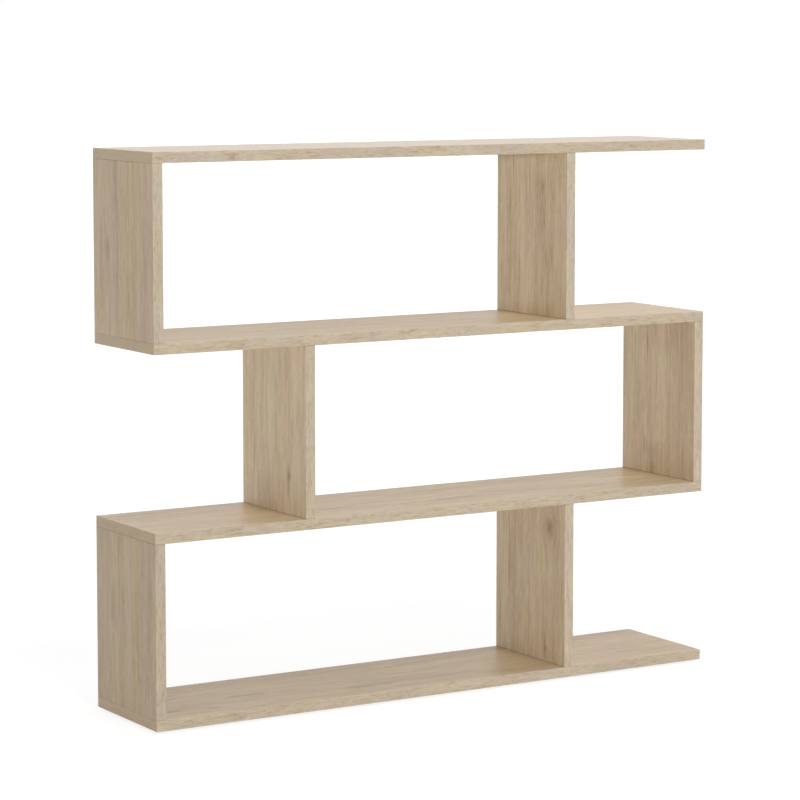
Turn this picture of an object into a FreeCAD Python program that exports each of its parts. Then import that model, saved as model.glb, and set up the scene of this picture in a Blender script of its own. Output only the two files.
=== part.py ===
import FreeCAD
import Part
import math
import os

# A low open shelving unit in faced chipboard: four long shelves with six short uprights between them,
# set in zig-zag so that the open end changes side from tier to tier.
# Millimetres. X runs along the shelves, the front is at -Y, Z is up and the floor is at z = 0.

# The unit
shelf_length = 1100.0
shelf_depth = 220.0
board = 18.0
bay_height = 290.0
open_end = 280.0  # from the open end of a shelf to the outer face of the upright set in from it

# Edge banding
band = 1.0
band_radius = 0.7

# Fitting lines across each joint, measured in from the front and back edges
cam_inset = 37.0
dowel_inset = 69.0

# Cam lock
cam_diameter = 15.0
cam_setback = 24.0  # from the end of the upright to the axis of the cam
cam_wall = 1.5  # thinnest wall round the pocket
cam_throw = 0.8  # offset of the pocket from the axis of the cam
cam_lip = 1.6  # below the slot for the bolt's neck
cam_floor_gap = 0.5
recess_length = 7.0
recess_width = 1.5
recess_depth = 2.2

# Cam bolt
bolt_thread_diameter = 5.0
bolt_thread_length = 11.0
bolt_shank_diameter = 6.0
bolt_neck_diameter = 4.2
bolt_head_diameter = 7.0
bolt_head_length = 5.0
bolt_tip_chamfer = 1.2
bolt_head_chamfer = 1.4
bolt_bore_diameter = 8.0

# Cover cap
cap_diameter = 17.0
cap_thickness = 1.0
cap_rounding = 0.6
peg_length = 1.6

# Dowel
dowel_diameter = 8.0
dowel_length = 30.0
dowel_in_shelf = 11.0
dowel_chamfer = 0.8

# Floor glide and its nail
glide_diameter = 20.0
glide_height = 4.0
glide_rounding = 1.5
glide_inset = 26.0  # from the front or back edge to the axis of the glide
glide_end_inset = 30.0  # from the end of the bottom shelf to the axis of the glide
nail_diameter = 2.0
nail_head_diameter = 5.0
nail_head_height = 1.0
nail_head_depth = 1.0  # how far the head is sunk above the sole of the glide
nail_length = 13.0

# Clearances
press_fit = 0.05
cam_fit = 0.1
slot_play = 0.3
bore_end_gap = 0.8
overcut = 1.0  # how far a cutting shape runs past the face that it opens

# Worked out from the sizes above
half_length = shelf_length / 2
half_depth = shelf_depth / 2
pitch = board + bay_height
cam_radius = cam_diameter / 2
cam_height = board / 2 + bolt_neck_diameter / 2 + slot_play + cam_lip
pocket_radius = cam_radius - cam_fit - cam_wall - cam_throw
slot_half = bolt_neck_diameter / 2 + slot_play
pocket_top = bolt_head_diameter / 2 + slot_play
head_reach = math.sqrt((bolt_head_diameter / 2) ** 2 - slot_half ** 2)
head_seat = math.sqrt(pocket_radius ** 2 - head_reach ** 2) - cam_throw - cam_fit
shank_end = cam_setback - cam_radius - slot_play
slot_past = math.atan2(pocket_top, math.sqrt(pocket_radius ** 2 - pocket_top ** 2) - cam_throw)
dowel_in_upright = dowel_length - dowel_in_shelf
cam_lines = (-half_depth + cam_inset, half_depth - cam_inset)
dowel_lines = (-half_depth + dowel_inset, half_depth - dowel_inset)
glide_lines = (-half_depth + glide_inset, half_depth - glide_inset)

shelf_names = ("bottom_shelf", "lower_shelf", "upper_shelf", "top_shelf")
tier_names = ("lower", "middle", "upper")
shelf_base = {}
for place, shelf_name in enumerate(shelf_names):
    shelf_base[shelf_name] = glide_height + place * pitch

# Outer faces of the uprights: the middle tier stands the other way round from the two beside it
inset_left = -half_length + open_end
inset_right = half_length - open_end - board
upright_left_face = {
    "lower_left_upright": -half_length,
    "lower_right_upright": inset_right,
    "middle_left_upright": inset_left,
    "middle_right_upright": half_length - board,
    "upper_left_upright": -half_length,
    "upper_right_upright": inset_right,
}


def vec(x, y, z):
    return FreeCAD.Vector(x, y, z)


def box(x0, x1, y0, y1, z0, z1):
    return Part.makeBox(x1 - x0, y1 - y0, z1 - z0, vec(x0, y0, z0))


def upright_cylinder(radius, x, y, z0, z1):
    return Part.makeCylinder(radius, z1 - z0, vec(x, y, z0), vec(0, 0, 1))


def blind_bore(diameter, x, y, mouth, end):
    return upright_cylinder(diameter / 2, x, y, min(mouth, end), max(mouth, end))


def cross_cylinder(radius, x0, x1, y, z):
    return Part.makeCylinder(radius, x1 - x0, vec(x0, y, z), vec(1, 0, 0))


def turned(profile):
    # A solid turned about Z from points given as (radius, height), starting and ending on the axis
    points = [vec(radius, 0, height) for radius, height in profile]
    points.append(points[0])
    face = Part.Face(Part.makePolygon(points))
    return face.revolve(vec(0, 0, 0), vec(0, 0, 1), 360)


def placed(shape, x, y, z, upward):
    # Fittings are drawn on the end of an upright standing at z = 0; at its top end they hang upside down
    copy = shape.copy()
    if not upward:
        copy.rotate(vec(0, 0, 0), vec(1, 0, 0), 180)
    copy.translate(vec(x, y, z))
    return copy


def rounded(solid, touches, radius):
    # Round every edge whose middle passes the test
    edges = []
    for edge in solid.Edges:
        middle = edge.CenterOfMass
        if touches(middle):
            edges.append(edge)
    return solid.makeFillet(radius, edges)


def write(shape, name):
    shape.exportStep("parts/" + name + ".step")


def tier_of(upright_name):
    return tier_names.index(upright_name.split("_")[0])


def joints_of(upright_name):
    # Both ends of an upright: the shelf it meets, the height of the meeting plane, and which way is in
    tier = tier_of(upright_name)
    below = shelf_names[tier]
    above = shelf_names[tier + 1]
    return (
        (below, shelf_base[below] + board, True),
        (above, shelf_base[above], False),
    )


# Fittings, each drawn once. The upright's end is at z = 0 with its middle at x = 0, so that its right
# face lies at x = board / 2.
def driver_cross(x0, x1, reach, thin):
    # The two bars of the cross in the cam's face, which the cap's peg fits too
    along = box(x0, x1, -reach, reach, cam_setback - thin, cam_setback + thin)
    across = box(x0, x1, -thin, thin, cam_setback - reach, cam_setback + reach)
    return [along, across]


def make_cam():
    face = board / 2
    floor = face - cam_height
    body = cross_cylinder(cam_radius - cam_fit, floor, face, 0, cam_setback)
    open_floor = floor - overcut
    pocket = cross_cylinder(pocket_radius, open_floor, pocket_top, 0, cam_setback + cam_throw)
    mouth = box(open_floor, pocket_top, -pocket_top, pocket_top, cam_setback, cam_setback + cam_diameter)
    # The slot runs from the mouth half a turn round to the bolt, which leaves towards the shelf, and on
    # until it clears the shoulder of the bolt's head
    slot_start = vec(-slot_half, 0, cam_setback)
    slot_turn = 180 + math.degrees(slot_past)
    slot = Part.makeCylinder(cam_diameter, 2 * slot_half, slot_start, vec(1, 0, 0), slot_turn)
    recess = driver_cross(face - recess_depth, face + overcut, recess_length / 2, recess_width / 2)
    return body.cut([pocket, mouth, slot] + recess)


def make_bolt():
    thread = bolt_thread_diameter / 2 - press_fit
    shank = bolt_shank_diameter / 2
    neck = bolt_neck_diameter / 2
    head = bolt_head_diameter / 2
    seat = cam_setback - head_seat
    tip = seat + bolt_head_length
    return turned((
        (0, -bolt_thread_length),
        (thread - bolt_tip_chamfer, -bolt_thread_length),
        (thread, -bolt_thread_length + bolt_tip_chamfer),
        (thread, 0),
        (shank, 0),
        (shank, shank_end - (shank - neck)),
        (neck, shank_end),
        (neck, seat),
        (head, seat),
        (head, tip - bolt_head_chamfer),
        (head - bolt_head_chamfer, tip),
        (0, tip),
    ))


def make_dowel():
    radius = dowel_diameter / 2 - press_fit
    return turned((
        (0, -dowel_in_shelf),
        (radius - dowel_chamfer, -dowel_in_shelf),
        (radius, -dowel_in_shelf + dowel_chamfer),
        (radius, dowel_in_upright - dowel_chamfer),
        (radius - dowel_chamfer, dowel_in_upright),
        (0, dowel_in_upright),
    ))


def make_cap():
    face = board / 2
    disc = cross_cylinder(cap_diameter / 2, face, face + cap_thickness, 0, cam_setback)
    disc = rounded(disc, lambda m: m.x > face + cap_thickness * 0.9, cap_rounding)
    peg_reach = recess_length / 2 - press_fit
    peg_thin = recess_width / 2 - press_fit
    peg = driver_cross(face - peg_length, face + cap_thickness / 2, peg_reach, peg_thin)
    return disc.fuse(peg).removeSplitter()


def make_glide():
    radius = glide_diameter / 2
    puck = upright_cylinder(radius, 0, 0, 0, glide_height)
    puck = rounded(puck, lambda m: m.z < glide_height * 0.1, glide_rounding)
    under_head = nail_head_depth + nail_head_height
    hole = upright_cylinder(nail_diameter / 2 + press_fit, 0, 0, -overcut, glide_height + overcut)
    sink = upright_cylinder(nail_head_diameter / 2 + press_fit, 0, 0, -overcut, under_head)
    return puck.cut([hole, sink])


def make_nail():
    shank = nail_diameter / 2
    head = nail_head_diameter / 2
    under_head = nail_head_depth + nail_head_height
    tip = nail_head_depth + nail_length
    return turned((
        (0, nail_head_depth),
        (head, nail_head_depth),
        (head, under_head),
        (shank, under_head),
        (shank, tip - 2 * shank),
        (0, tip),
    ))


def glide_places():
    under_upright = inset_right + board / 2
    lines = (-half_length + glide_end_inset, under_upright, half_length - glide_end_inset)
    return [(x, y) for x in lines for y in glide_lines]


# Bores in the boards
def shelf_bores(shelf_name):
    bores = []
    for upright_name, left_face in upright_left_face.items():
        x = left_face + board / 2
        for meets, z, upward in joints_of(upright_name):
            if meets != shelf_name:
                continue
            inward = -1 if upward else 1
            pilot_end = z + inward * (bolt_thread_length + bore_end_gap)
            dowel_end = z + inward * (dowel_in_shelf + bore_end_gap)
            for y in cam_lines:
                bores.append(blind_bore(bolt_thread_diameter, x, y, z, pilot_end))
            for y in dowel_lines:
                bores.append(blind_bore(dowel_diameter, x, y, z, dowel_end))
    if shelf_name == "bottom_shelf":
        nail_end = nail_head_depth + nail_length + bore_end_gap
        for x, y in glide_places():
            bores.append(blind_bore(nail_diameter + 2 * press_fit, x, y, glide_height, nail_end))
    return bores


def upright_bores(upright_name):
    bores = []
    left_face = upright_left_face[upright_name]
    right_face = left_face + board
    cam_floor = right_face - cam_height - cam_floor_gap
    x = left_face + board / 2
    for shelf_name, z, upward in joints_of(upright_name):
        inward = 1 if upward else -1
        cam_z = z + inward * cam_setback
        dowel_end = z + inward * (dowel_in_upright + bore_end_gap)
        for y in cam_lines:
            bores.append(cross_cylinder(cam_radius, cam_floor, right_face, y, cam_z))
            bores.append(blind_bore(bolt_bore_diameter, x, y, z, cam_z))
        for y in dowel_lines:
            bores.append(blind_bore(dowel_diameter, x, y, z, dowel_end))
    return bores


def shelf_nodes(shelf_name):
    z0 = shelf_base[shelf_name]
    z1 = z0 + board
    core = box(-half_length + band, half_length - band, -half_depth + band, half_depth - band, z0, z1)
    write(core.cut(shelf_bores(shelf_name)), shelf_name)
    for side, direction in (("front", -1), ("back", 1)):
        inner = direction * (half_depth - band)
        outer = direction * half_depth
        strip = box(-half_length, half_length, min(inner, outer), max(inner, outer), z0, z1)
        # Every edge is eased except those against the board
        strip = rounded(strip, lambda m: abs(m.y - inner) > band / 4, band_radius)
        write(strip, shelf_name + "_" + side + "_band")
    for side, direction in (("left", -1), ("right", 1)):
        inner = direction * (half_length - band)
        outer = direction * half_length
        strip = box(min(inner, outer), max(inner, outer), -half_depth + band, half_depth - band, z0, z1)
        strip = rounded(strip, lambda m: abs(m.x - outer) < band / 4 and abs(m.y) < band, band_radius)
        write(strip, shelf_name + "_" + side + "_band")


def upright_nodes(upright_name):
    left_face = upright_left_face[upright_name]
    right_face = left_face + board
    z0 = shelf_base[shelf_names[tier_of(upright_name)]] + board
    z1 = z0 + bay_height
    middle = (z0 + z1) / 2
    core = box(left_face, right_face, -half_depth + band, half_depth - band, z0, z1)
    write(core.cut(upright_bores(upright_name)), upright_name)
    for side, direction in (("front", -1), ("back", 1)):
        inner = direction * (half_depth - band)
        outer = direction * half_depth
        strip = box(left_face, right_face, min(inner, outer), max(inner, outer), z0, z1)
        # Only the two long outer edges are eased; the ends are cut square against the shelves
        strip = rounded(strip, lambda m: abs(m.y - outer) < band / 4 and abs(m.z - middle) < band,
                        band_radius)
        write(strip, upright_name + "_" + side + "_band")


def fitting_nodes(tier_name):
    # The fittings of one tier, each kind as one group of separate solids
    cams = []
    bolts = []
    caps = []
    dowels = []
    for upright_name, left_face in upright_left_face.items():
        if not upright_name.startswith(tier_name):
            continue
        x = left_face + board / 2
        for shelf_name, z, upward in joints_of(upright_name):
            for y in cam_lines:
                cams.append(placed(make_cam(), x, y, z, upward))
                bolts.append(placed(make_bolt(), x, y, z, upward))
                caps.append(placed(make_cap(), x, y, z, upward))
            for y in dowel_lines:
                dowels.append(placed(make_dowel(), x, y, z, upward))
    write(Part.makeCompound(cams), tier_name + "_cam_locks")
    write(Part.makeCompound(bolts), tier_name + "_cam_bolts")
    write(Part.makeCompound(caps), tier_name + "_cover_caps")
    write(Part.makeCompound(dowels), tier_name + "_dowels")


def glide_nodes():
    glides = []
    nails = []
    for x, y in glide_places():
        glides.append(placed(make_glide(), x, y, 0, True))
        nails.append(placed(make_nail(), x, y, 0, True))
    write(Part.makeCompound(glides), "floor_glides")
    write(Part.makeCompound(nails), "glide_nails")


os.makedirs("parts", exist_ok=True)
for shelf_name in shelf_names:
    shelf_nodes(shelf_name)
for upright_name in upright_left_face:
    upright_nodes(upright_name)
for tier_name in tier_names:
    fitting_nodes(tier_name)
glide_nodes()
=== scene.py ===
import bpy
import math
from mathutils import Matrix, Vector


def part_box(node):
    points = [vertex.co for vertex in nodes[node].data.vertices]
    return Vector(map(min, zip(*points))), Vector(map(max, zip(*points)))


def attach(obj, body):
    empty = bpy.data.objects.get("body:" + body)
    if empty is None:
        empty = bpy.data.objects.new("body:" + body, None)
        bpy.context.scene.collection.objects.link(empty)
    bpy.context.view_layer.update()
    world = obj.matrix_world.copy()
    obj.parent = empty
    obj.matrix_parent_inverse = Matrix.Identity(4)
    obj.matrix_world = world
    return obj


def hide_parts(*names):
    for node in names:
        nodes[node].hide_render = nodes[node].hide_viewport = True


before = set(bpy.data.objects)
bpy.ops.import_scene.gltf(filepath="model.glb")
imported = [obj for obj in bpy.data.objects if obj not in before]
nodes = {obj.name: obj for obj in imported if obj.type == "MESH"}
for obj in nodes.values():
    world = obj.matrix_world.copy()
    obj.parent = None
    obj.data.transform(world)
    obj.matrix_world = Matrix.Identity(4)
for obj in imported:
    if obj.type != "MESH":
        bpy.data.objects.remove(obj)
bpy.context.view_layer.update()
stage = bpy.context.scene
print("frame loaded with", len(nodes), "nodes")


# Small helpers for shader and geometry trees
def addNode(tree, kind, inputs=None, **settings):
    made = tree.nodes.new(kind)
    for name, value in settings.items():
        setattr(made, name, value)
    for socket, value in (inputs or {}).items():
        if isinstance(value, bpy.types.NodeSocket):
            tree.links.new(value, made.inputs[socket])
        else:
            made.inputs[socket].default_value = value
    return made


# For the many nodes of which only the first output is used
def firstOut(tree, kind, inputs=None, **settings):
    return addNode(tree, kind, inputs, **settings).outputs[0]


def calc(tree, operation, first, second=0.0, third=0.0):
    return firstOut(tree, "ShaderNodeMath", {0: first, 1: second, 2: third}, operation=operation)


def product(tree, first, *others):
    for other in others:
        first = calc(tree, "MULTIPLY", first, other)
    return first


def vectorCalc(tree, operation, first, second):
    slot = "Scale" if operation == "SCALE" else 1
    return firstOut(tree, "ShaderNodeVectorMath", {0: first, slot: second}, operation=operation)


def splitAxes(tree, vector):
    return addNode(tree, "ShaderNodeSeparateXYZ", {0: vector}).outputs


def joinAxes(tree, parts):
    return firstOut(tree, "ShaderNodeCombineXYZ", parts)


# A soft rise from 0 to 1, a soft fall, and a rise with a fall after it
def softStep(tree, value, low, high):
    return firstOut(tree, "ShaderNodeMapRange", {"Value": value, "From Min": low, "From Max": high},
                    interpolation_type="SMOOTHSTEP")


def fadeOut(tree, value, low, high):
    return calc(tree, "SUBTRACT", 1.0, softStep(tree, value, low, high))


def band(tree, value, rise, fall):
    return calc(tree, "SUBTRACT", softStep(tree, value, *rise), softStep(tree, value, *fall))


# Distance from a place to the nearer of two limits
def toNearer(tree, place, low, high):
    return calc(tree, "MINIMUM", calc(tree, "SUBTRACT", place, low), calc(tree, "SUBTRACT", high, place))


def mixColour(tree, share, first, second, way="MIX"):
    mixed = addNode(tree, "ShaderNodeMix", {0: share, 6: first, 7: second}, data_type="RGBA",
                    blend_type=way)
    return mixed.outputs[2]


def layOver(tree, tone, colour, mask, strength, way="MIX"):
    return mixColour(tree, calc(tree, "MULTIPLY", mask, strength), tone, colour, way)


# Noise drawn out along the grain: waves per metre along and across it
def drawnNoise(tree, grain, along, across, detail=2.0, roughness=0.5):
    drawn = vectorCalc(tree, "MULTIPLY", grain, (along, across, across))
    return firstOut(tree, "ShaderNodeTexNoise",
                    {"Vector": drawn, "Scale": 1.0, "Detail": detail, "Roughness": roughness})


# The same noise, swinging either side of nought
def swing(tree, grain, *noise):
    return calc(tree, "SUBTRACT", drawnNoise(tree, grain, *noise), 0.5)


def floats(*names):
    return [(name, "Float") for name in names]


def newGroup(name, kind, inputs, outputs):
    tree = bpy.data.node_groups.new(name, kind)
    for socketName, socketKind, *start in inputs:
        socket = tree.interface.new_socket(socketName, in_out="INPUT", socket_type="NodeSocket" + socketKind)
        if start:
            socket.default_value = start[0]
    for socketName, socketKind in outputs:
        tree.interface.new_socket(socketName, in_out="OUTPUT", socket_type="NodeSocket" + socketKind)
    return tree, tree.nodes.new("NodeGroupInput").outputs, tree.nodes.new("NodeGroupOutput").inputs


def endGroup(tree, target, results):
    for name, socket in results.items():
        tree.links.new(socket, target[name])
    return tree


def useGroup(tree, group, inputs):
    return addNode(tree, "ShaderNodeGroup", inputs, node_tree=group).outputs


def newMaterial(name):
    material = bpy.data.materials.new(name)
    material.use_nodes = True
    material.node_tree.nodes.clear()
    return material, material.node_tree


def endMaterial(tree, tone, dullness, relief, bump, metal=0.0):
    normal = firstOut(tree, "ShaderNodeBump", {"Height": relief, **bump})
    surface = firstOut(tree, "ShaderNodeBsdfPrincipled",
                       {"Base Color": tone, "Roughness": dullness, "Metallic": metal, "Normal": normal})
    addNode(tree, "ShaderNodeOutputMaterial", {"Surface": surface})


# A colour given as it looks on screen, 0 to 255, as the shader wants it
def screenColour(red, green, blue):
    linear = []
    for level in (red, green, blue):
        share = level / 255
        linear.append(share / 12.92 if share <= 0.04045 else ((share + 0.055) / 1.055) ** 2.4)
    return (*linear, 1.0)


def tinted(tones, shade):
    made = {}
    for name, tone in tones.items():
        made[name] = (*(level * share for level, share in zip(tone, shade)), 1.0)
    return made


# A noise is given as waves per metre along and across the grain, then detail and roughness
figureLook = {
    "noise": {
        "wave": (2.2, 10),
        "ripple": (16, 60, 1.0),
        "wide": (3.5, 36),
        "lines": (11, 95, 5.0, 0.64),
        "threads": (5, 210, 1.0),
        "short": (38, 190, 3.0, 0.6),
        "wrinkles": (130, 32),
        "dashes": (42, 420),
        "pores": (95, 1500, 1.0),
        "fibres": (60, 2100),
        "blotches": (15, 22),
        "dulling": (5, 24),
    },
    # noise levels between which these come in
    "steps": {
        "darkThreads": (0.58, 0.74),
        "paleThreads": (0.42, 0.26),
        "dashes": (0.56, 0.68),
        "pores": (0.57, 0.68),
        "blotches": (0.34, 0.66),
        "dulling": (0.42, 0.70),
    },
    "shiftWay": (1.37, 0.61, 0.23),     # from one piece of the print to the next
    "waveReach": 0.016,                 # how far the grain wanders sideways, m
    "rippleReach": 0.0022,
    "depth": {"all": 0.14, "wrinkles": 0.10, "pores": 0.10, "fibres": 0.08},
    "relief": {"pores": -0.6, "fibres": -0.4},
    "roughness": {"all": 0.34, "pores": 0.12, "fibres": 0.10},
}

# Growth rings at the heart of the log
flameLook = {
    "slope": 0.16,
    "ringWidth": 0.0062,
    "tipRound": 0.006,
    "ripple": 0.6,
    "rise": (0.0, 0.7),                 # shares of a ring's width
    "fall": (0.8, 1.0),
    "sides": (0.012, 0.026),            # from the heart, m
    "start": (-0.012, 0.02),            # below the tip, m
    "end": (0.07, 0.15),
}


# The printed oak: blotches, lines, short streaks, wrinkles and pores, and a flame of growth rings
def makeOakFigure(look, flame):
    tree, source, target = newGroup(
        "oakFigure", "ShaderNodeTree",
        [("Grain", "Vector"), ("Fineness", "Float", 1.0),
         ("Pale", "Color"), ("Warm", "Color"), ("Dull", "Color"), ("Late", "Color"),
         *floats("Shift", "Heart", "Tip", "Ring Depth", "Wide Depth", "Line Depth", "Thread Depth",
                 "Short Depth", "Dash Depth")],
        [("Tone", "Color"), *floats("Relief", "Dullness")])
    noise = look["noise"]
    steps = look["steps"]
    moved = vectorCalc(tree, "ADD", vectorCalc(tree, "SCALE", source["Grain"], source["Fineness"]),
                       vectorCalc(tree, "SCALE", look["shiftWay"], source["Shift"]))
    ripple = calc(tree, "MULTIPLY", swing(tree, moved, *noise["ripple"]), look["rippleReach"])
    wave = calc(tree, "MULTIPLY", swing(tree, moved, *noise["wave"]), look["waveReach"])
    bent = vectorCalc(tree, "ADD", moved, joinAxes(tree, {1: calc(tree, "ADD", wave, ripple)}))

    # the rings nest into a flame below its tip
    along, across, _ = splitAxes(tree, source["Grain"])
    side = calc(tree, "MULTIPLY_ADD", ripple, flame["ripple"], across)
    side = calc(tree, "SUBTRACT", side, source["Heart"])
    below = calc(tree, "SUBTRACT", source["Tip"], along)
    reach = calc(tree, "SQRT", calc(tree, "MULTIPLY_ADD", side, side, flame["tipRound"] ** 2))
    climb = calc(tree, "MULTIPLY", below, flame["slope"])
    saw = calc(tree, "DIVIDE", calc(tree, "SUBTRACT", reach, climb), flame["ringWidth"])
    summer = band(tree, calc(tree, "FRACT", saw), flame["rise"], flame["fall"])
    room = fadeOut(tree, calc(tree, "ABSOLUTE", side), *flame["sides"])
    run = band(tree, below, flame["start"], flame["end"])
    rings = product(tree, room, run, summer)

    # finer figure, most of it bent with the grain
    wide = swing(tree, bent, *noise["wide"])
    lines = swing(tree, bent, *noise["lines"])
    thread = drawnNoise(tree, bent, *noise["threads"])
    threads = band(tree, thread, steps["darkThreads"], steps["paleThreads"])
    short = swing(tree, bent, *noise["short"])
    wrinkles = swing(tree, moved, *noise["wrinkles"])
    dashes = softStep(tree, drawnNoise(tree, bent, *noise["dashes"]), *steps["dashes"])
    pores = softStep(tree, drawnNoise(tree, bent, *noise["pores"]), *steps["pores"])
    fibres = drawnNoise(tree, bent, *noise["fibres"])

    depth = look["depth"]["all"]
    for part, share in ((rings, source["Ring Depth"]), (wide, source["Wide Depth"]),
                        (lines, source["Line Depth"]), (threads, source["Thread Depth"]),
                        (short, source["Short Depth"]), (dashes, source["Dash Depth"]),
                        (wrinkles, look["depth"]["wrinkles"]), (pores, look["depth"]["pores"]),
                        (fibres, look["depth"]["fibres"])):
        depth = calc(tree, "MULTIPLY_ADD", part, share, depth)
    depth = firstOut(tree, "ShaderNodeClamp", {0: depth})

    blotch = softStep(tree, drawnNoise(tree, bent, *noise["blotches"]), *steps["blotches"])
    tone = mixColour(tree, blotch, source["Pale"], source["Warm"])
    dulled = softStep(tree, drawnNoise(tree, bent, *noise["dulling"]), *steps["dulling"])
    tone = mixColour(tree, dulled, tone, source["Dull"])
    tone = mixColour(tree, depth, tone, source["Late"])

    relief = calc(tree, "MULTIPLY", fibres, look["relief"]["fibres"])
    relief = calc(tree, "MULTIPLY_ADD", pores, look["relief"]["pores"], relief)
    dullness = calc(tree, "MULTIPLY_ADD", fibres, look["roughness"]["fibres"], look["roughness"]["all"])
    dullness = calc(tree, "MULTIPLY_ADD", pores, look["roughness"]["pores"], dullness)
    return endGroup(tree, target, {"Tone": tone, "Relief": relief, "Dullness": dullness})


stripeLook = {
    "wander": (11, 24, 3.0),
    "wanderReach": 0.010,
    "sides": (0.2, 1.0),                # shares of the half width
    "breaks": (20, 260, 3.0),
    "breakStep": (0.32, 0.62),
    "unbroken": 0.3,
    "fade": 0.03,                       # at both ends, m
    "fadeShare": 0.4,                   # and at most this share of the length
}


# One soft stripe along the grain, from one place along it to another
def makeToneStripe(look):
    tree, source, target = newGroup(
        "toneStripe", "ShaderNodeTree",
        [("Grain", "Vector"), *floats("Centre", "Half Width", "Start", "End", "Fade")], floats("Mask"))
    along, across, _ = splitAxes(tree, source["Grain"])
    wander = swing(tree, source["Grain"], *look["wander"])
    across = calc(tree, "MULTIPLY_ADD", wander, look["wanderReach"], across)
    away = calc(tree, "ABSOLUTE", calc(tree, "SUBTRACT", across, source["Centre"]))
    body = fadeOut(tree, calc(tree, "DIVIDE", away, source["Half Width"]), *look["sides"])
    fromStart = calc(tree, "DIVIDE", calc(tree, "SUBTRACT", along, source["Start"]), source["Fade"])
    toEnd = calc(tree, "DIVIDE", calc(tree, "SUBTRACT", source["End"], along), source["Fade"])
    ends = calc(tree, "MULTIPLY", softStep(tree, fromStart, 0.0, 1.0), softStep(tree, toEnd, 0.0, 1.0))
    broken = softStep(tree, drawnNoise(tree, source["Grain"], *look["breaks"]), *look["breakStep"])
    broken = calc(tree, "MULTIPLY_ADD", broken, 1.0 - look["unbroken"], look["unbroken"])
    return endGroup(tree, target, {"Mask": product(tree, body, ends, broken)})


# Reaches are in sizes of the knot
knotLook = {
    "flatten": 0.7,                     # makes it longer along the grain
    "ragged": (90, 150, 3.0),
    "raggedReach": 1.1,
    "pull": (0.3, 3.2),
    "pullShare": -0.6,
    "core": (0.1, 1.0),
    "coreShare": 0.65,
    "halo": (0.6, 2.4),
    "haloShare": 0.35,
}


# A knot: the grain parts round it, and its eye is dark
def makeOakKnot(look):
    tree, source, target = newGroup(
        "oakKnot", "ShaderNodeTree",
        [("Grain", "Vector"), *floats("Along", "Across", "Size")], [("Flow", "Vector"), *floats("Eye")])
    along, across, _ = splitAxes(tree, source["Grain"])
    length = calc(tree, "MULTIPLY", calc(tree, "SUBTRACT", along, source["Along"]), look["flatten"])
    side = calc(tree, "SUBTRACT", across, source["Across"])
    away = calc(tree, "MULTIPLY_ADD", side, side, calc(tree, "MULTIPLY", length, length))
    away = calc(tree, "DIVIDE", calc(tree, "SQRT", away), source["Size"])
    ragged = swing(tree, source["Grain"], *look["ragged"])
    away = calc(tree, "MULTIPLY_ADD", ragged, look["raggedReach"], away)
    shift = product(tree, side, fadeOut(tree, away, *look["pull"]), look["pullShare"])
    flow = vectorCalc(tree, "ADD", source["Grain"], joinAxes(tree, {1: shift}))
    eye = calc(tree, "MULTIPLY", fadeOut(tree, away, *look["core"]), look["coreShare"])
    eye = calc(tree, "MULTIPLY_ADD", fadeOut(tree, away, *look["halo"]), look["haloShare"], eye)
    return endGroup(tree, target, {"Flow": flow, "Eye": eye})


rubLook = {"reach": 0.0012, "breaks": (24, 90, 3.0), "breakStep": (0.40, 0.66)}


# Rubbing along both edges of a strip or board, broken up as hands and cloths leave it
def makeEdgeRub(look):
    tree, source, target = newGroup(
        "edgeRub", "ShaderNodeTree", [("Grain", "Vector"), *floats("Low", "High")], floats("Mask"))
    across = splitAxes(tree, source["Grain"])[1]
    toEdge = calc(tree, "DIVIDE", toNearer(tree, across, source["Low"], source["High"]), look["reach"])
    broken = softStep(tree, drawnNoise(tree, source["Grain"], *look["breaks"]), *look["breakStep"])
    return endGroup(tree, target, {"Mask": calc(tree, "MULTIPLY", fadeOut(tree, toEdge, 0.0, 1.0), broken)})


jointLook = {"reach": 0.0016, "step": (0.4, 1.0)}


# The thin dark line of painted shade in the seam where the ends of an upright meet the shelves
def makeJointLine(look):
    tree, source, target = newGroup(
        "jointLine", "ShaderNodeTree", [("Grain", "Vector"), *floats("Start", "End")], floats("Mask"))
    along = splitAxes(tree, source["Grain"])[0]
    toEnd = calc(tree, "DIVIDE", toNearer(tree, along, source["Start"], source["End"]), look["reach"])
    return endGroup(tree, target, {"Mask": fadeOut(tree, toEnd, *look["step"])})


oakFigure = makeOakFigure(figureLook, flameLook)
toneStripe = makeToneStripe(stripeLook)
oakKnot = makeOakKnot(knotLook)
edgeRub = makeEdgeRub(rubLook)
jointLine = makeJointLine(jointLook)

oakLook = {
    "boardTones": {
        "Pale": screenColour(205, 181, 149),
        "Warm": screenColour(202, 183, 146),
        "Dull": screenColour(201, 180, 149),
        "Late": screenColour(139, 107, 65),
    },
    "edgingTones": {
        "Pale": screenColour(202, 187, 167),
        "Warm": screenColour(200, 186, 161),
        "Dull": screenColour(196, 182, 165),
        "Late": screenColour(131, 104, 58),
    },
    # stripes and the painted seam shade at the joints multiply the tone below them
    "stripeTints": {
        "olive": (0.98, 1.0, 0.82, 1.0),
        "lilac": (0.97, 0.95, 1.02, 1.0),
        "green": (0.95, 1.0, 0.96, 1.0),
        "brown": (0.52, 0.46, 0.38, 1.0),
        "light": (1.10, 1.12, 1.0, 1.0),
    },
    "jointTint": (0.50, 0.45, 0.40, 1.0),
    "eyeShare": 0.75,
    "rubbed": screenColour(218, 204, 176),
    "rubShare": 0.25,
    "rubDullness": -0.06,
    "bump": {"Strength": 0.25, "Distance": 0.0002},
}
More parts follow.
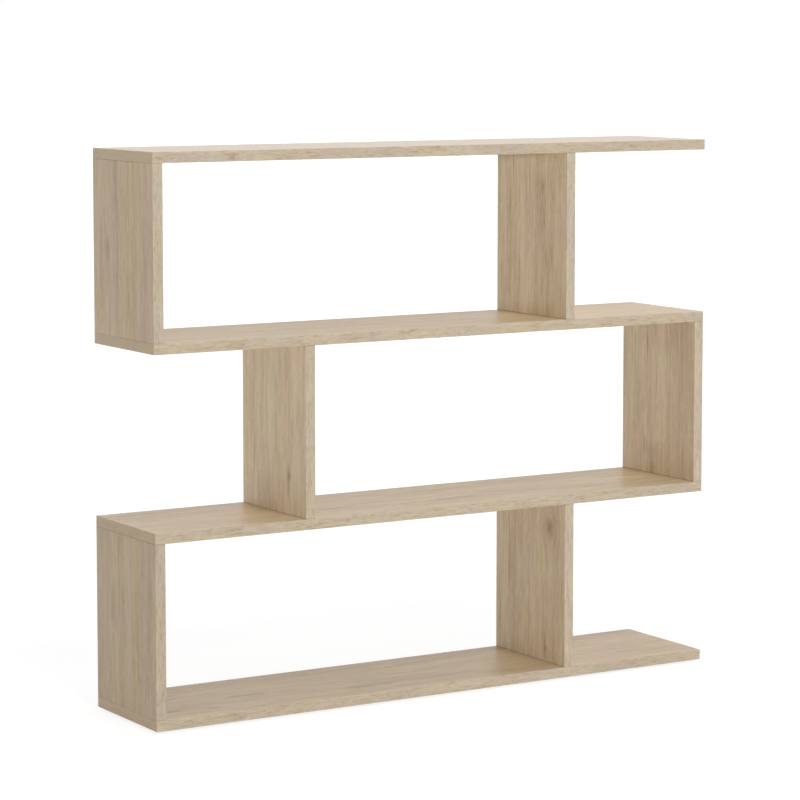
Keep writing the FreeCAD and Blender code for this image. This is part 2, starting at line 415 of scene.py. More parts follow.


# Every board and strip has its own piece of the print. Grain runs along the first axis named.
# A joint is the two ends of an upright and the darkness of the painted seam shade there.
def oakMaterial(name, axes, figure, edges, stripes=(), knots=(), gloss=0.0, joint=None):
    material, tree = newMaterial(name)
    place = splitAxes(tree, addNode(tree, "ShaderNodeTexCoord").outputs["Object"])
    straight = joinAxes(tree, {number: place["xyz".index(letter)] for number, letter in enumerate(axes)})
    grain = straight
    eyes = []
    for along, across, size in knots:
        knot = useGroup(tree, oakKnot, {"Grain": grain, "Along": along, "Across": across, "Size": size})
        grain = knot["Flow"]
        eyes.append(knot["Eye"])
    oak = useGroup(tree, oakFigure, {"Grain": grain, **figure})
    tone = oak["Tone"]
    for tint, centre, halfWidth, start, end, strength in stripes:
        fade = min(stripeLook["fade"], stripeLook["fadeShare"] * (end - start))
        stripe = useGroup(tree, toneStripe, {"Grain": grain, "Centre": centre, "Half Width": halfWidth,
                                             "Start": start, "End": end, "Fade": fade})
        tone = layOver(tree, tone, oakLook["stripeTints"][tint], stripe["Mask"], strength, "MULTIPLY")
    for eye in eyes:
        tone = layOver(tree, tone, figure["Late"], eye, oakLook["eyeShare"])
    rub = useGroup(tree, edgeRub, {"Grain": straight, "Low": edges[0], "High": edges[1]})["Mask"]
    tone = layOver(tree, tone, oakLook["rubbed"], rub, oakLook["rubShare"])
    # painted seam shade at the ends of an upright
    if joint:
        start, end, darkness = joint
        line = useGroup(tree, jointLine, {"Grain": straight, "Start": start, "End": end})["Mask"]
        tone = layOver(tree, tone, oakLook["jointTint"], line, darkness, "MULTIPLY")
    dullness = calc(tree, "MULTIPLY_ADD", rub, oakLook["rubDullness"], oak["Dullness"])
    endMaterial(tree, tone, calc(tree, "ADD", dullness, gloss), oak["Relief"], oakLook["bump"])
    return material


def dress(node, material):
    for slot in nodes[node].material_slots:
        slot.material = material


def spanOf(node, axis):
    low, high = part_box(node)
    return low["xyz".index(axis)], high["xyz".index(axis)]


# Stripes: tint, middle across, half width, start and end along the grain, strength
# Knots: place along and across the grain, size
# Each board's shade multiplies its tones. Besides the board's own tone, it holds painted light: the upper
# and lower shelves are made brighter because less light reaches them under the shelves above, the bottom
# shelf is darker as painted shade, and the top shelf is bluer as a painted sheen.
shelfPrint = {
    "axes": "xyz",
    "figure": {"Wide Depth": 0.25, "Line Depth": 0.50, "Thread Depth": 0.06, "Short Depth": 0.25,
               "Dash Depth": 0.08},
    "boards": {
        "top_shelf": {
            # the bluer shade is a painted sheen
            "shade": (1.06, 1.10, 1.17),
            "figure": {"Shift": 1.0},
            "gloss": -0.10,
        },
        "upper_shelf": {
            "shade": (1.17, 1.18, 1.22),
            "figure": {"Shift": 2.3},
            "stripes": [("brown", -0.010, 0.016, -0.36, 0.16, 0.22)],
        },
        "lower_shelf": {
            "shade": (1.165, 1.18, 1.245),
            "figure": {"Shift": 3.9, "Line Depth": 0.90, "Wide Depth": 0.45},
            "stripes": [
                ("brown", -0.031, 0.007, -0.215, -0.118, 0.65),
                ("brown", -0.040, 0.013, 0.015, 0.120, 0.55),
                ("brown", -0.051, 0.006, 0.310, 0.390, 0.65),
                ("brown", 0.026, 0.009, 0.400, 0.530, 0.60)],
        },
        "bottom_shelf": {
            "shade": (0.955, 0.96, 0.95),
            "figure": {"Shift": 5.2, "Line Depth": 0.95, "Wide Depth": 0.45},
            "stripes": [
                ("brown", -0.013, 0.007, -0.385, -0.288, 0.75),
                ("brown", -0.068, 0.006, -0.440, -0.405, 0.75),
                ("brown", -0.057, 0.010, -0.175, -0.050, 0.50),
                ("brown", -0.060, 0.008, -0.540, -0.470, 0.60),
                ("lilac", 0.0, 0.30, 0.25, 0.60, 1.0)],
        },
    },
}

# The outer faces of the left uprights hardly show the painted seam shade at their joints
# Besides each board's own tone, the shades hold painted light: the inner uprights are made brighter because
# less light reaches their faces inside the bays, and the outer left uprights are made darker.
uprightPrint = {
    "axes": "zyx",
    "joint": 0.7,
    "figure": {"Wide Depth": 0.75, "Line Depth": 0.66, "Thread Depth": 0.16, "Short Depth": 0.58,
               "Dash Depth": 0.10},
    "boards": {
        "upper_left_upright": {
            "shade": (0.97, 0.965, 0.995),
            "figure": {"Shift": 6.1},
            "joint": 0.25,
            "stripes": [
                ("olive", -0.026, 0.022, 0.60, 0.96, 1.0), ("olive", 0.084, 0.016, 0.60, 0.74, 0.9),
                ("lilac", 0.044, 0.034, 0.64, 0.94, 1.0), ("lilac", -0.086, 0.030, 0.60, 0.94, 1.0),
                ("brown", 0.055, 0.013, 0.745, 0.815, 0.45), ("brown", 0.022, 0.003, 0.62, 0.95, 0.3),
                ("brown", 0.034, 0.0025, 0.68, 0.88, 0.3)],
        },
        "upper_right_upright": {
            "shade": (1.14, 1.175, 1.225),
            "figure": {"Shift": 7.4, "Heart": -0.033, "Tip": 0.886, "Ring Depth": 0.24},
            "stripes": [
                ("brown", 0.038, 0.003, 0.67, 0.75, 0.9), ("brown", -0.046, 0.002, 0.63, 0.86, 0.3),
                ("brown", 0.057, 0.0025, 0.85, 0.94, 0.6), ("brown", 0.006, 0.0025, 0.84, 0.915, 0.6),
                ("brown", -0.034, 0.011, 0.84, 0.88, 0.30), ("brown", -0.036, 0.014, 0.785, 0.835, 0.25),
                ("brown", -0.02, 0.07, 0.60, 0.665, 0.25)],
        # this broad brown stripe darkens the bottom end next to the shelf: painted shade
        },
        "middle_left_upright": {
            "shade": (1.12, 1.155, 1.235),
            "figure": {"Shift": 8.8},
            "knots": [(0.395, -0.052, 0.0045)],
            "stripes": [
                ("green", 0.0, 0.06, 0.40, 0.64, 0.7), ("light", -0.084, 0.006, 0.42, 0.58, 0.5),
                ("brown", -0.051, 0.006, 0.345, 0.43, 0.6), ("brown", 0.033, 0.04, 0.30, 0.40, 0.3),
                ("brown", 0.07, 0.002, 0.36, 0.58, 0.3), ("brown", 0.052, 0.002, 0.33, 0.55, 0.35)],
        },
        "middle_right_upright": {
            "shade": (1.10, 1.135, 1.22),
            "figure": {"Shift": 9.7},
            "stripes": [
                # Painted shade: the brown stripe after the green one darkens the bottom end, and the first
                # two on the next line darken the front half and the top of the board.
                ("green", 0.070, 0.034, 0.42, 0.62, 0.8), ("brown", 0.011, 0.03, 0.30, 0.40, 0.40),
                ("brown", -0.065, 0.07, 0.30, 0.66, 0.20), ("brown", -0.02, 0.09, 0.54, 0.66, 0.15),
                ("brown", 0.033, 0.003, 0.52, 0.62, 0.6), ("brown", -0.03, 0.002, 0.40, 0.60, 0.3),
                ("brown", 0.0035, 0.003, 0.47, 0.55, 0.6), ("brown", 0.041, 0.004, 0.355, 0.405, 0.5),
                ("brown", 0.018, 0.008, 0.31, 0.365, 0.35), ("brown", -0.011, 0.003, 0.32, 0.40, 0.5)],
        },
        "lower_left_upright": {
            "shade": (0.86, 0.84, 0.845),
            "figure": {"Shift": 10.6},
            "joint": 0.25,
            "stripes": [
                ("brown", 0.048, 0.016, 0.14, 0.245, 0.5), ("brown", 0.026, 0.003, 0.16, 0.26, 0.4),
                ("olive", -0.036, 0.020, 0.0, 0.33, 1.0), ("olive", 0.055, 0.014, 0.02, 0.11, 0.9),
                ("lilac", -0.080, 0.022, 0.06, 0.29, 1.0), ("lilac", 0.080, 0.030, 0.0, 0.33, 0.9)],
        },
        "lower_right_upright": {
            "shade": (1.05, 1.07, 1.13),
            "figure": {"Shift": 11.5},
            "knots": [(0.264, -0.062, 0.016), (0.045, -0.05, 0.003)],
            "stripes": [
                ("brown", 0.068, 0.003, 0.13, 0.29, 0.6), ("brown", -0.049, 0.003, 0.02, 0.08, 0.8),
                ("green", -0.011, 0.014, 0.165, 0.235, 0.35), ("brown", 0.026, 0.012, 0.19, 0.27, 0.3),
                ("brown", -0.055, 0.0025, 0.10, 0.25, 0.4)],
        },
    },
}


def dressBoards(plan):
    for board, own in plan["boards"].items():
        figure = {**plan["figure"], **own["figure"], **tinted(oakLook["boardTones"], own["shade"])}
        joint = None
        if "joint" in plan:
            joint = (*spanOf(board, "z"), own.get("joint", plan["joint"]))
        finish = oakMaterial(board + "_oak", plan["axes"], figure, spanOf(board, "y"),
                             own.get("stripes", ()), own.get("knots", ()), own.get("gloss", 0.0), joint)
        dress(board, finish)


dressBoards(shelfPrint)
dressBoards(uprightPrint)
print("boards dressed")


# Geometry trees become plain meshes: sockets are set by identifier, then the evaluated shape is kept
def growPiece(name, points, recipe, values, evenNormals=False):
    data = bpy.data.meshes.new(name)
    data.from_pydata(points, [], [])
    piece = bpy.data.objects.new(name, data)
    stage.collection.objects.link(piece)
    modifier = piece.modifiers.new("recipe", "NODES")
    modifier.node_group = recipe
    sockets = [item for item in recipe.interface.items_tree if item.in_out == "INPUT"]
    identifiers = {socket.name: socket.identifier for socket in sockets}
    for socketName, value in values.items():
        modifier[identifiers[socketName]] = value
    if evenNormals:
        piece.modifiers.new("flatFaces", "WEIGHTED_NORMAL").keep_sharp = True
    plain = bpy.data.meshes.new_from_object(piece.evaluated_get(bpy.context.evaluated_depsgraph_get()))
    # one material slot, whatever the evaluated mesh had
    plain.materials.clear()
    plain.materials.append(values["Finish"])
    plain.polygons.foreach_set("material_index", [0] * len(plain.polygons))
    piece.modifiers.clear()
    piece.data = plain
    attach(piece, "root")
    return piece


sharpCorner = math.radians(50)


# The end of each tree: smooth faces with sharp corners, real geometry, and its finish
def finishTree(tree, shape, finish, target):
    shape = firstOut(tree, "GeometryNodeSetShadeSmooth", {"Geometry": shape})
    bend = addNode(tree, "GeometryNodeInputMeshEdgeAngle").outputs["Unsigned Angle"]
    corner = firstOut(tree, "FunctionNodeCompare", {0: bend, 1: sharpCorner}, operation="GREATER_THAN")
    shape = firstOut(tree, "GeometryNodeSetShadeSmooth",
                     {"Geometry": shape, "Selection": corner, "Shade Smooth": False}, domain="EDGE")
    shape = firstOut(tree, "GeometryNodeRealizeInstances", {0: shape})
    shape = firstOut(tree, "GeometryNodeSetMaterial", {"Geometry": shape, "Material": finish})
    return endGroup(tree, target, {"Geometry": shape})


def setPlace(tree, shape, place):
    return firstOut(tree, "GeometryNodeSetPosition", {"Geometry": shape, "Position": place})


def mergeNear(tree, shape, reach):
    return firstOut(tree, "GeometryNodeMergeByDistance", {"Geometry": shape, "Distance": reach})


# Edging: rings of points round the strip step from the glued face out to the eased outer face
def makeEdgingRecipe():
    tree, source, target = newGroup(
        "edgingStrip", "GeometryNodeTree",
        [("Geometry", "Geometry"), ("Centre", "Vector"), ("Along", "Vector"), ("Outward", "Vector"),
         *floats("Length", "Height", "Thickness", "Easing", "Eased Ends"), ("Steps", "Int"),
         ("Finish", "Material")],
        [("Geometry", "Geometry")])
    cornerCount = 4.0
    roundingNudge = 0.01
    mergeReach = 1e-6
    quarter = math.pi / 2
    perCorner = calc(tree, "ADD", source["Steps"], 1.0)
    around = calc(tree, "MULTIPLY", perCorner, cornerCount)
    ringCount = calc(tree, "ADD", source["Steps"], 2.0)
    endEasing = calc(tree, "MULTIPLY", source["Easing"], source["Eased Ends"])
    halfLength = calc(tree, "SUBTRACT", calc(tree, "MULTIPLY", source["Length"], 0.5), endEasing)
    halfHeight = calc(tree, "SUBTRACT", calc(tree, "MULTIPLY", source["Height"], 0.5), source["Easing"])
    straight = calc(tree, "SUBTRACT", source["Thickness"], source["Easing"])
    upward = vectorCalc(tree, "CROSS_PRODUCT", source["Outward"], source["Along"])

    # how many whole times a count goes into a number
    def wholeTimes(number, count):
        return calc(tree, "FLOOR", calc(tree, "DIVIDE", calc(tree, "ADD", number, roundingNudge), count))

    # which side of the middle a corner is on, for the cosine or sine of its direction
    def sideOf(wave, direction):
        return calc(tree, "SIGN", calc(tree, wave, direction))

    def ringPlace(point, ring):
        corner = wholeTimes(point, perCorner)
        within = calc(tree, "SUBTRACT", point, calc(tree, "MULTIPLY", corner, perCorner))
        turn = calc(tree, "ADD", corner, calc(tree, "DIVIDE", within, source["Steps"]))
        turn = calc(tree, "MULTIPLY", turn, quarter)
        middle = calc(tree, "MULTIPLY", calc(tree, "ADD", corner, 0.5), quarter)
        roll = calc(tree, "MAXIMUM", calc(tree, "SUBTRACT", ring, 1.0), 0.0)
        roll = calc(tree, "MULTIPLY", calc(tree, "DIVIDE", roll, source["Steps"]), quarter)
        inset = calc(tree, "COSINE", roll)
        along = product(tree, calc(tree, "COSINE", turn), calc(tree, "MULTIPLY", endEasing, inset))
        along = calc(tree, "MULTIPLY_ADD", sideOf("COSINE", middle), halfLength, along)
        up = product(tree, calc(tree, "SINE", turn), calc(tree, "MULTIPLY", source["Easing"], inset))
        up = calc(tree, "MULTIPLY_ADD", sideOf("SINE", middle), halfHeight, up)
        out = calc(tree, "MULTIPLY", calc(tree, "SINE", roll), source["Easing"])
        out = calc(tree, "MULTIPLY_ADD", calc(tree, "MINIMUM", ring, 1.0), straight, out)
        place = source["Centre"]
        for direction, distance in ((source["Along"], along), (upward, up), (source["Outward"], out)):
            place = vectorCalc(tree, "ADD", place, vectorCalc(tree, "SCALE", direction, distance))
        return place

    index = firstOut(tree, "GeometryNodeInputIndex")
    wall = firstOut(tree, "GeometryNodeMeshGrid",
                    {"Vertices X": calc(tree, "ADD", around, 1.0), "Vertices Y": ringCount})
    column = wholeTimes(index, ringCount)
    ring = calc(tree, "SUBTRACT", index, calc(tree, "MULTIPLY", column, ringCount))
    wall = setPlace(tree, wall, ringPlace(calc(tree, "MODULO", column, around), ring))
    sheet = firstOut(tree, "GeometryNodeMeshCircle", {"Vertices": around}, fill_type="NGON")
    outer = setPlace(tree, sheet, ringPlace(index, calc(tree, "SUBTRACT", ringCount, 1.0)))
    glued = firstOut(tree, "GeometryNodeFlipFaces", {0: setPlace(tree, sheet, ringPlace(index, 0.0))})
    joined = addNode(tree, "GeometryNodeJoinGeometry")
    for part in (wall, outer, glued):
        tree.links.new(part, joined.inputs[0])
    return finishTree(tree, mergeNear(tree, joined.outputs[0], mergeReach), source["Finish"], target)


edgingShape = {"Easing": 0.0007, "Steps": 4}

# The strips on the shelves' ends go with the boards, the others are paler. The end shades also darken the
# end strips as painted shade on the shelves' sides.
edgingPrint = {
    "figure": {"Fineness": 1.6, "Wide Depth": 0.20, "Line Depth": 0.46, "Short Depth": 0.54,
               "Dash Depth": 0.35},
    "endFigure": {"Fineness": 1.3, "Wide Depth": 0.20, "Line Depth": 0.40, "Short Depth": 0.25,
                  "Dash Depth": 0.12},
    "firstShift": 20.0,
    "nextShift": 0.7,
    # darkness of the painted seam shade at the ends of the uprights' strips
    "joint": 0.25,
    # on the shelves' fronts, measured across from the middle of the strip
    "frontStripes": [
        ("brown", 0.003, 0.004, -0.432, -0.385, 0.40), ("brown", -0.004, 0.003, -0.425, -0.380, 0.40),
        ("brown", 0.001, 0.003, 0.380, 0.404, 0.35), ("light", 0.0, 0.006, -0.10, 0.16, 0.35)],
    "shades": {
        "top_shelf": (1.01, 1.013, 1.03),
        "upper_shelf": (1.01, 1.013, 1.0),
        "lower_shelf": (0.985, 0.987, 0.97),
        "bottom_shelf": (0.985, 0.987, 0.985),
        "upper_left_upright": (0.97, 0.987, 1.015),
        "upper_right_upright": (1.035, 1.05, 1.08),
        "middle_left_upright": (0.97, 0.973, 0.955),
        "middle_right_upright": (1.04, 1.03, 1.035),
        "lower_left_upright": (0.93, 0.94, 0.935),
        "lower_right_upright": (1.0, 0.995, 1.01),
    },
    "endShades": {
        "top_shelf": (0.95, 0.965, 1.02),
        "upper_shelf": (0.923, 0.917, 0.948),
        "lower_shelf": (0.872, 0.853, 0.84),
        "bottom_shelf": (0.897, 0.877, 0.887),
    },
}
axisWays = {"x": Vector((1, 0, 0)), "y": Vector((0, 1, 0)), "z": Vector((0, 0, 1))}
edgingRecipe = makeEdgingRecipe()


# The axes of a strip are its length, its height and its thickness
def edgingStrip(node, shift):
    board, side, _ = node.rsplit("_", 2)
    onUpright = board.endswith("upright")
    onEnd = side in ("left", "right")
    if onUpright:
        axes = "zxy"
    elif onEnd:
        axes = "yzx"
    else:
        axes = "xzy"
    low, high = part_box(node)
    size = high - low
    length, height, thickness = (size["xyz".index(letter)] for letter in axes)
    outward = axisWays[axes[2]] * (-1 if side in ("front", "left") else 1)
    centre = (low + high) / 2 - outward * thickness / 2

    if onEnd:
        figure = edgingPrint["endFigure"]
        tones = tinted(oakLook["boardTones"], edgingPrint["endShades"][board])
    else:
        figure = edgingPrint["figure"]
        tones = tinted(oakLook["edgingTones"], edgingPrint["shades"][board])
    figure = {**figure, **tones, "Shift": shift}
    stripes = []
    if side == "front" and not onUpright:
        stripes = [(tint, centre.z + middle, *rest) for tint, middle, *rest in edgingPrint["frontStripes"]]
    joint = (*spanOf(node, "z"), edgingPrint["joint"]) if onUpright else None
    finish = oakMaterial(node + "_oak", axes, figure, spanOf(node, axes[1]), stripes, joint=joint)
    strip = growPiece(node.replace("_band", "_edging"), [(0, 0, 0)], edgingRecipe,
                      {**edgingShape, "Centre": centre, "Along": axisWays[axes[0]], "Outward": outward,
                       "Length": length, "Height": height, "Thickness": thickness,
                       "Eased Ends": 0.0 if onUpright or onEnd else 1.0, "Finish": finish},
                      evenNormals=True)
    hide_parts(node)


for number, node in enumerate(sorted(name for name in nodes if name.endswith("_band"))):
    edgingStrip(node, edgingPrint["firstShift"] + edgingPrint["nextShift"] * number)
print("edging strips made")

skinLook = {
    "mottle": (420, 420, 4.0, 0.6),
    "mottleStep": (0.35, 0.7),
    "mottleWear": 0.5,
    "speckle": (2600, 2600, 2.0),
    "speckleStep": (0.5, 0.75),
    "speckleWear": 0.35,
    "speckleRelief": -0.5,
    "wornDullness": 0.18,
    "rim": (0.86, 1.0),                 # shares of a disc's radius
    "rimBreaks": (300, 300, 3.0),
    "rimBreakStep": (0.35, 0.65),
    "rimShare": 0.5,
    "bump": {"Strength": 0.2, "Distance": 0.0001},
}


# Cast, drawn or moulded skin of the small fittings
def makeFittingSkin(look):
    tree, source, target = newGroup(
        "fittingSkin", "ShaderNodeTree",
        [("Place", "Vector"), ("Clean", "Color"), ("Worn", "Color"), *floats("Dullness", "Drawn")],
        [("Tone", "Color"), *floats("Relief", "Dullness")])
    stretch = joinAxes(tree, {0: 1.0, 1: 1.0, 2: source["Drawn"]})
    drawn = vectorCalc(tree, "MULTIPLY", source["Place"], stretch)
    mottle = softStep(tree, drawnNoise(tree, drawn, *look["mottle"]), *look["mottleStep"])
    speckle = softStep(tree, drawnNoise(tree, drawn, *look["speckle"]), *look["speckleStep"])
    worn = calc(tree, "MULTIPLY", mottle, look["mottleWear"])
    worn = calc(tree, "MULTIPLY_ADD", speckle, look["speckleWear"], worn)
    return endGroup(tree, target, {
        "Tone": mixColour(tree, worn, source["Clean"], source["Worn"]),
        "Relief": calc(tree, "MULTIPLY_ADD", speckle, look["speckleRelief"], mottle),
        "Dullness": calc(tree, "MULTIPLY_ADD", worn, look["wornDullness"], source["Dullness"])})


# Rubbing round the rim of a disc, broken up like the edges of the boards
def makeRimRub(look):
    tree, source, target = newGroup(
        "rimRub", "ShaderNodeTree", [("Place", "Vector"), *floats("Rim")], floats("Mask"))
    near = softStep(tree, source["Rim"], *look["rim"])
    broken = softStep(tree, drawnNoise(tree, source["Place"], *look["rimBreaks"]), *look["rimBreakStep"])
    return endGroup(tree, target, {"Mask": calc(tree, "MULTIPLY", near, broken)})


fittingSkin = makeFittingSkin(skinLook)
rimRub = makeRimRub(skinLook)


def fittingMaterial(name, clean, worn, dullness, metal, drawn=1.0, rubbedRim=None):
    material, tree = newMaterial(name)
    place = addNode(tree, "ShaderNodeTexCoord").outputs["Object"]
    skin = useGroup(tree, fittingSkin, {"Place": place, "Clean": screenColour(*clean),
                                        "Worn": screenColour(*worn), "Dullness": dullness, "Drawn": drawn})
    tone = skin["Tone"]
    if rubbedRim:
        rim = addNode(tree, "ShaderNodeAttribute", attribute_name="rim").outputs["Fac"]
        rub = useGroup(tree, rimRub, {"Place": place, "Rim": rim})["Mask"]
        tone = layOver(tree, tone, screenColour(*rubbedRim), rub, skinLook["rimShare"])
    endMaterial(tree, tone, skin["Dullness"], skin["Relief"], skinLook["bump"], metal)
    return material


# Fittings that show their CAD shape. Drawn metal has its mottling stretched along z.
fittingFinishes = {
    "cam_locks": {"clean": (206, 207, 210), "worn": (160, 161, 166), "dullness": 0.42, "metal": 1.0},
    "cam_bolts": {"clean": (220, 219, 214), "worn": (176, 172, 160), "dullness": 0.28, "metal": 1.0,
                  "drawn": 0.15},
    "glide_nails": {"clean": (204, 204, 205), "worn": (158, 156, 154), "dullness": 0.30, "metal": 1.0,
                    "drawn": 0.15},
}
dowelPrint = {
    "axes": "zyx",
    "figure": {
        "Pale": screenColour(231, 207, 178),
        "Warm": screenColour(226, 198, 164),
        "Dull": screenColour(220, 194, 164),
        "Late": screenColour(176, 138, 100),
        "Shift": 50.0, "Wide Depth": 0.1, "Line Depth": 0.3, "Short Depth": 0.5, "Dash Depth": 0.3,
    },
    "edges": (-1.0, 1.0),               # far off, so that no edge is rubbed
}
beech = oakMaterial("beech_dowel", **dowelPrint)
for node in nodes:
    for kind, finish in fittingFinishes.items():
        if node.endswith(kind):
            dress(node, fittingMaterial(node + "_finish", **finish))
    if node.endswith("dowels"):
        dress(node, beech)


# Turned discs: an outline with an eased rim, swept round its axis and set at each place
def makeDiscRecipe():
    tree, source, target = newGroup(
        "turnedDisc", "GeometryNodeTree",
        [("Places", "Geometry"), *floats("Radius", "Height", "Rim", "Dimple Radius", "Dimple Depth"),
         ("Sides", "Int"), ("Facing", "Vector"), ("Finish", "Material")],
        [("Geometry", "Geometry")])
    dimpleFloor = calc(tree, "SUBTRACT", source["Dimple Depth"], source["Height"])
    top = calc(tree, "MULTIPLY", source["Height"], -1.0)
    outline = [(0.0, dimpleFloor), (source["Dimple Radius"], dimpleFloor), (source["Dimple Radius"], top),
               (source["Radius"], top), (source["Radius"], 0.0), (0.0, 0.0)]
    rimCorner = 3
    rimSteps = 5
    axleRadius = 1e-6
    mergeReach = 2.5e-6
    index = firstOut(tree, "GeometryNodeInputIndex")
    choice = addNode(tree, "GeometryNodeIndexSwitch", data_type="VECTOR")
    while len(choice.index_switch_items) < len(outline):
        choice.index_switch_items.new()
    tree.links.new(index, choice.inputs[0])
    for number, (out, down) in enumerate(outline):
        tree.links.new(joinAxes(tree, {0: out, 1: down}), choice.inputs[1 + number])
    line = firstOut(tree, "GeometryNodeMeshLine", {"Count": len(outline)})
    line = firstOut(tree, "GeometryNodeMeshToCurve", {0: setPlace(tree, line, choice.outputs[0])})
    onRim = firstOut(tree, "FunctionNodeCompare", {2: index, 3: rimCorner}, data_type="INT",
                     operation="EQUAL")
    rimRadius = calc(tree, "MULTIPLY", onRim, source["Rim"])
    line = firstOut(tree, "GeometryNodeFilletCurve", {"Curve": line, "Radius": rimRadius, "Count": rimSteps},
                    mode="POLY")
    axle = firstOut(tree, "GeometryNodeCurvePrimitiveCircle",
                    {"Resolution": source["Sides"], "Radius": axleRadius})
    disc = firstOut(tree, "GeometryNodeCurveToMesh", {"Curve": axle, "Profile Curve": line})
    disc = mergeNear(tree, disc, mergeReach)
    east, north, _ = splitAxes(tree, firstOut(tree, "GeometryNodeInputPosition"))
    away = calc(tree, "SQRT", calc(tree, "MULTIPLY_ADD", east, east, calc(tree, "MULTIPLY", north, north)))
    toRim = calc(tree, "DIVIDE", away, source["Radius"])
    disc = firstOut(tree, "GeometryNodeStoreNamedAttribute",
                    {"Geometry": disc, "Name": "rim", "Value": toRim})
    facing = firstOut(tree, "FunctionNodeAlignRotationToVector", {"Vector": source["Facing"]}, axis="Z")
    discs = firstOut(tree, "GeometryNodeInstanceOnPoints",
                     {"Points": source["Places"], "Instance": disc, "Rotation": facing})
    return finishTree(tree, discs, source["Finish"], target)


discRecipe = makeDiscRecipe()
capLook = {
    "shape": {"Radius": 0.0085, "Height": 0.001, "Rim": 0.0006, "Sides": 48, "Facing": (1, 0, 0)},
    "finish": {"clean": (224, 214, 201), "worn": (206, 194, 178), "dullness": 0.42, "metal": 0.0,
               "rubbedRim": (236, 228, 216)},
}
capRadius = capLook["shape"]["Radius"]
for tier in ("upper", "middle", "lower"):
    low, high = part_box(tier + "_cover_caps")
    places = [(spanOf(tier + "_" + hand + "_upright", "x")[1], deep, level)
              for hand in ("left", "right")
              for deep in (low.y + capRadius, high.y - capRadius)
              for level in (low.z + capRadius, high.z - capRadius)]
    finish = fittingMaterial(tier + "_cap_plastic", **capLook["finish"])
    caps = growPiece(tier + "_caps", places, discRecipe, {**capLook["shape"], "Finish": finish})
    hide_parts(tier + "_cover_caps")

glideLook = {
    "shape": {"Radius": 0.010, "Height": 0.004, "Rim": 0.0015, "Dimple Radius": 0.00255,
              "Dimple Depth": 0.002, "Sides": 48, "Facing": (0, 0, -1)},
    "finish": {"clean": (150, 143, 138), "worn": (126, 119, 113), "dullness": 0.48, "metal": 0.0,
               "rubbedRim": (176, 170, 164)},
}
glideLow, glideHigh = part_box("floor_glides")
glideRadius = glideLook["shape"]["Radius"]
underUpright = sum(spanOf("lower_right_upright", "x")) / 2
glidePlaces = [(across, deep, glideHigh.z)
               for across in (glideLow.x + glideRadius, underUpright, glideHigh.x - glideRadius)
               for deep in (glideLow.y + glideRadius, glideHigh.y - glideRadius)]
glideFinish = fittingMaterial("glide_plastic", **glideLook["finish"])
glides = growPiece("glides", glidePlaces, discRecipe, {**glideLook["shape"], "Finish": glideFinish})
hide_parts("floor_glides")
print("fittings made")

# White floor that keeps the shadow near the unit, and a white surround
floorLook = {
    "half": 40.0,
    "tone": (0.7, 0.7, 0.7, 1.0),       # for the light that it sends back to the unit
    "seenTone": (0.2, 0.2, 0.2, 1.0),   # for the shadow on it
    "glowNear": 0.86,
    "glowFar": 1.0,
    "near": 1.0,
    "far": 3.5,
}
surroundLook = {"seen": 1.0, "fill": 0.14}


def seenDirectly(tree):
    path = addNode(tree, "ShaderNodeLightPath").outputs
    seen = calc(tree, "MAXIMUM", path["Is Camera Ray"], path["Is Glossy Ray"])
    return calc(tree, "MAXIMUM", seen, path["Is Transmission Ray"])


def makeFloor(look):
    half = look["half"]
    data = bpy.data.meshes.new("floor")
    corners = [(-half, -half, 0), (half, -half, 0), (half, half, 0), (-half, half, 0)]
    data.from_pydata(corners, [], [(0, 1, 2, 3)])
    floor = bpy.data.objects.new("floor", data)
    stage.collection.objects.link(floor)
    material, tree = newMaterial("white_floor")
    place = addNode(tree, "ShaderNodeTexCoord").outputs["Object"]
    away = addNode(tree, "ShaderNodeVectorMath", {0: place}, operation="LENGTH").outputs["Value"]
    outward = softStep(tree, away, look["near"], look["far"])
    glow = calc(tree, "MULTIPLY_ADD", outward, look["glowFar"] - look["glowNear"], look["glowNear"])
    matt = firstOut(tree, "ShaderNodeBsdfDiffuse", {"Color": look["tone"]})
    shaded = firstOut(tree, "ShaderNodeBsdfDiffuse", {"Color": look["seenTone"]})
    shine = firstOut(tree, "ShaderNodeEmission", {"Strength": glow})
    white = firstOut(tree, "ShaderNodeAddShader", {0: shaded, 1: shine})
    surface = firstOut(tree, "ShaderNodeMixShader", {0: seenDirectly(tree), 1: matt, 2: white})
    addNode(tree, "ShaderNodeOutputMaterial", {"Surface": surface})
    data.materials.append(material)


def makeSurround(look):
    world = bpy.data.worlds.new("surround")
    stage.world = world
    world.use_nodes = True
    tree = world.node_tree
    tree.nodes.clear()
    strength = calc(tree, "MULTIPLY_ADD", seenDirectly(tree), look["seen"] - look["fill"], look["fill"])
    back = firstOut(tree, "ShaderNodeBackground", {"Color": (1, 1, 1, 1), "Strength": strength})
    addNode(tree, "ShaderNodeOutputWorld", {"Surface": back})


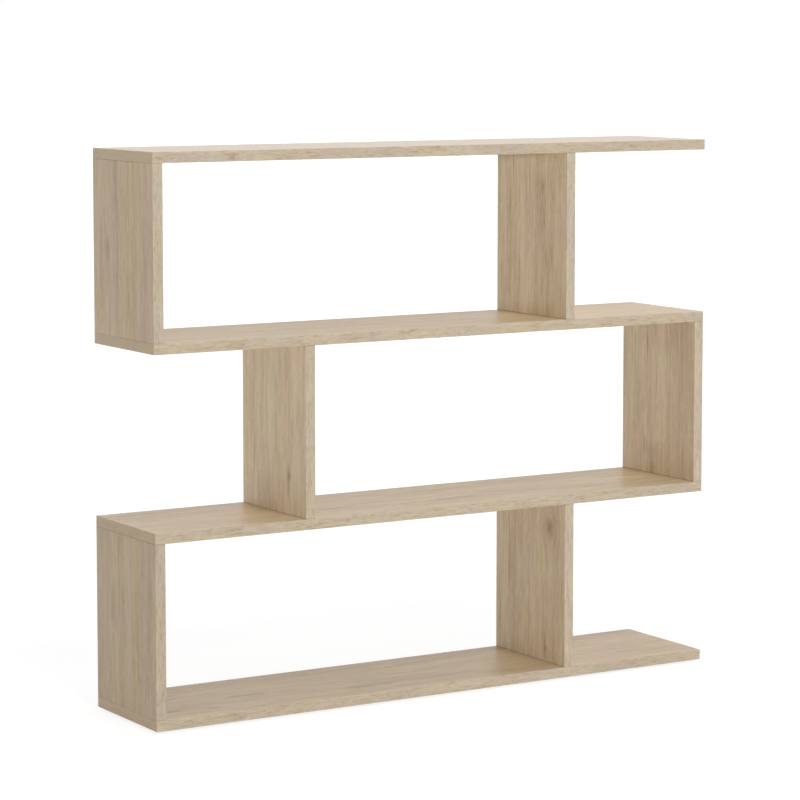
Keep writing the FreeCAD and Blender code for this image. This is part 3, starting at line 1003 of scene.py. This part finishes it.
# Lamps by where they stand: degrees round from the front, to the right, degrees up, and metres away
lampAim = Vector((0.0, 0.0, 0.5))
lampCommon = {"away": 30.0, "size": 9.0, "high": 9.0}
lamps = {
    "leftFront": {"turn": -34, "lift": 4, "high": 3.0, "power": 4600.0},
    "frontHigh": {"turn": 0, "lift": 55, "power": 3600.0},
    "right": {"turn": 90, "lift": 32, "power": 3200.0},
    "behind": {"turn": 165, "lift": 22, "power": 2600.0},
    "above": {"turn": 0, "lift": 89.9, "power": 1295.0},
}


def makeLamp(name, plan):
    turn = math.radians(plan["turn"])
    lift = math.radians(plan["lift"])
    toLamp = Vector((math.sin(turn) * math.cos(lift), -math.cos(turn) * math.cos(lift), math.sin(lift)))
    light = bpy.data.lights.new(name + "Lamp", "AREA")
    light.shape = "ELLIPSE"
    light.size = plan["size"]
    light.size_y = plan["high"]
    light.energy = plan["power"]
    lamp = bpy.data.objects.new(name + "Lamp", light)
    stage.collection.objects.link(lamp)
    lamp.visible_glossy = False     # the sheen shows the white surround, not the lamps
    lamp.location = lampAim + toLamp * plan["away"]
    lamp.rotation_euler = (-toLamp).to_track_quat("-Z", "Y").to_euler()


makeFloor(floorLook)
makeSurround(surroundLook)
for name, own in lamps.items():
    makeLamp(name, {**lampCommon, **own})

# Lengths in metres, turns in degrees, focal length in pixels of the picture
cameraPlan = {
    "place": (-2.701896, -4.39592, 1.137317),
    "turn": 31.383,
    "tilt": 5.498,
    "focalPixels": 2995.562,
    "picture": 800,
    "sensor": 36.0,
    "shiftUp": -0.1,
    "farthest": 200,
}


def makeCamera(plan):
    lens = bpy.data.cameras.new("view")
    lens.sensor_width = plan["sensor"]
    lens.lens = plan["focalPixels"] / plan["picture"] * plan["sensor"]
    lens.shift_y = plan["shiftUp"]
    lens.clip_end = plan["farthest"]
    camera = bpy.data.objects.new("view", lens)
    stage.collection.objects.link(camera)
    camera.location = plan["place"]
    camera.rotation_euler = (math.radians(90 - plan["tilt"]), 0, -math.radians(plan["turn"]))
    stage.camera = camera


makeCamera(cameraPlan)
stage.view_settings.view_transform = "Standard"
print("floor, lamps and camera set")
